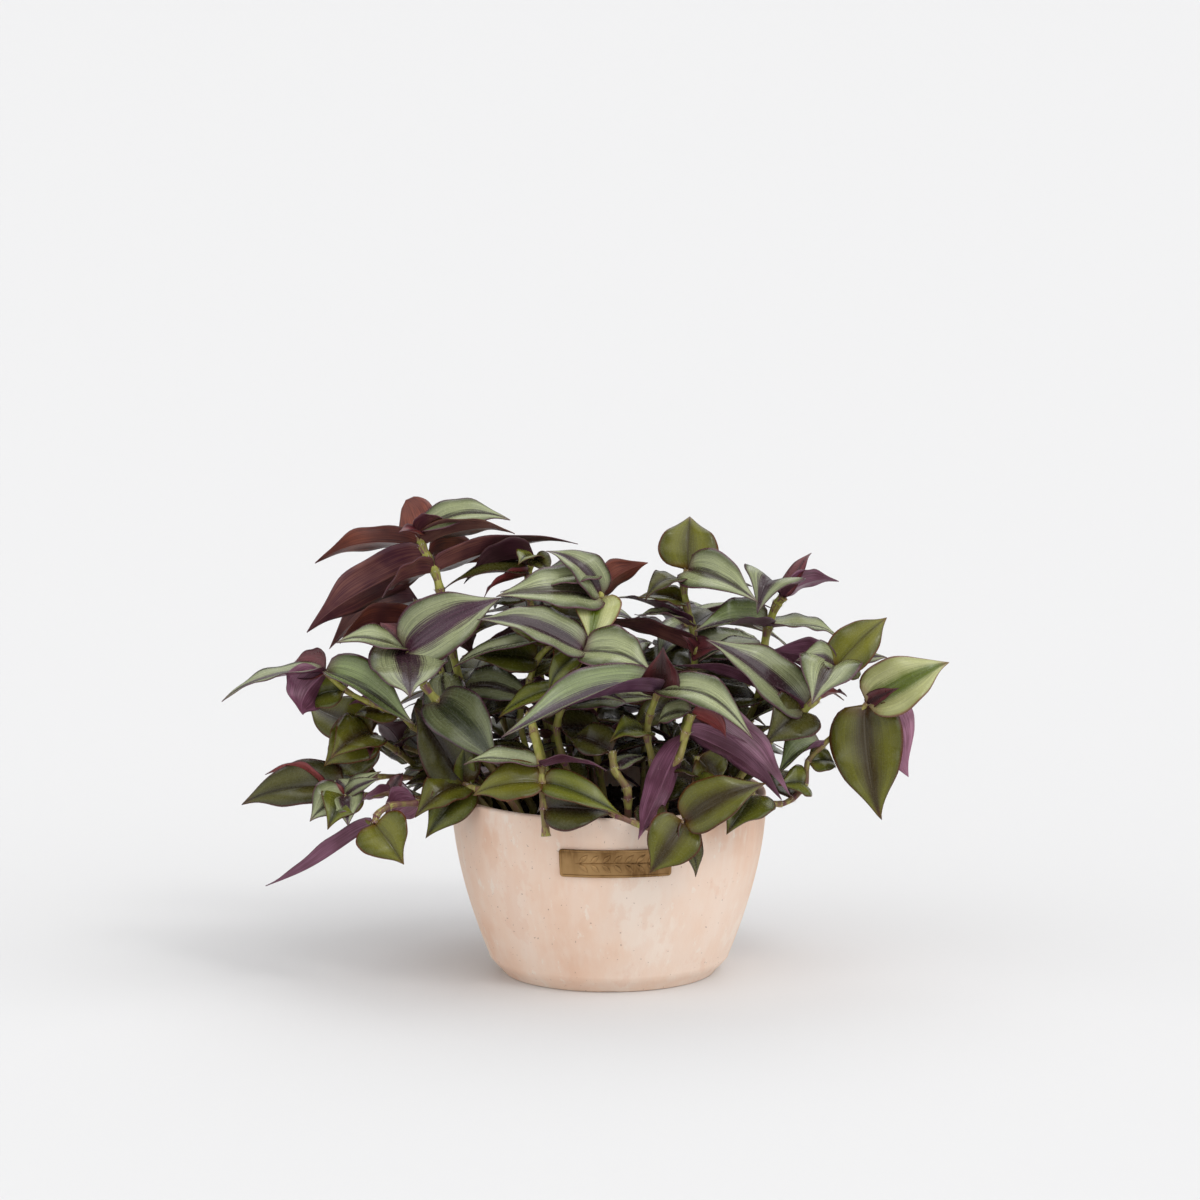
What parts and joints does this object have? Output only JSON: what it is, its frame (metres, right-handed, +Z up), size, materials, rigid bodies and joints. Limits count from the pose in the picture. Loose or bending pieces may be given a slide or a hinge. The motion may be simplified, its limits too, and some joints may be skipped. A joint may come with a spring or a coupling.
{
  "type": "potted tradescantia",
  "caption": "Bushy trailing houseplant with striped silver-green and purple leaves in a round tapered pale clay pot with a small blank metal label plate.",
  "frame": {"origin": "middle of the pot's foot, on the surface that it stands on", "axes": "+Z up, -Y to the front where the label plate is, +X to the right seen from the front, which is the plant's widest way"},
  "size_m": [0.3583, 0.2535, 0.237],
  "materials": {
    "pot_clay": "matte, limewashed",
    "plate_brass": "brushed, antique",
    "potting_soil": "rough, moist",
    "silver_leaf": "satin, striped",
    "green_leaf": "satin",
    "olive_leaf": "satin, striped",
    "dark_leaf": "glossy",
    "purple_leaf": "satin",
    "brown_leaf": "satin"
  },
  "bodies": {
    "root": {"pot": "pot_clay", "label_plate": "plate_brass", "soil": "potting_soil", "stem_left_crown": "brown_leaf", "stem_left_heart": "silver_leaf", "stem_left_behind": "purple_leaf", "stem_left_middle": "purple_leaf", "stem_left_olive": "olive_leaf", "stem_left_small": "dark_leaf", "stem_left_low": "silver_leaf", "stem_left_long": "purple_leaf", "stem_left_hanging": "purple_leaf", "stem_rim_left": "dark_leaf", "stem_front_hanging": "dark_leaf", "stem_middle_pair": "silver_leaf", "stem_middle_low": "dark_leaf", "stem_middle_tall": "silver_leaf", "stem_middle_behind": "dark_leaf", "stem_middle_shade": "silver_leaf", "stem_right_crown": "olive_leaf", "stem_right_tall": "purple_leaf", "stem_right_big": "olive_leaf", "stem_right_trailing": "olive_leaf", "stem_centre_right": "purple_leaf", "stem_front_purple": "purple_leaf", "stem_front_right": "olive_leaf", "stem_over_rim": "olive_leaf", "stem_inner_1": "silver_leaf", "stem_inner_2": "green_leaf", "stem_inner_3": "silver_leaf", "stem_back_top_1": "silver_leaf", "stem_back_top_2": "silver_leaf", "stem_back_middle_1": "green_leaf", "stem_back_middle_2": "green_leaf", "stem_back_middle_3": "silver_leaf", "stem_back_middle_4": "green_leaf", "stem_back_low_1": "dark_leaf", "stem_back_low_2": "silver_leaf", "stem_back_low_3": "dark_leaf"}
  },
  "joints": []
}
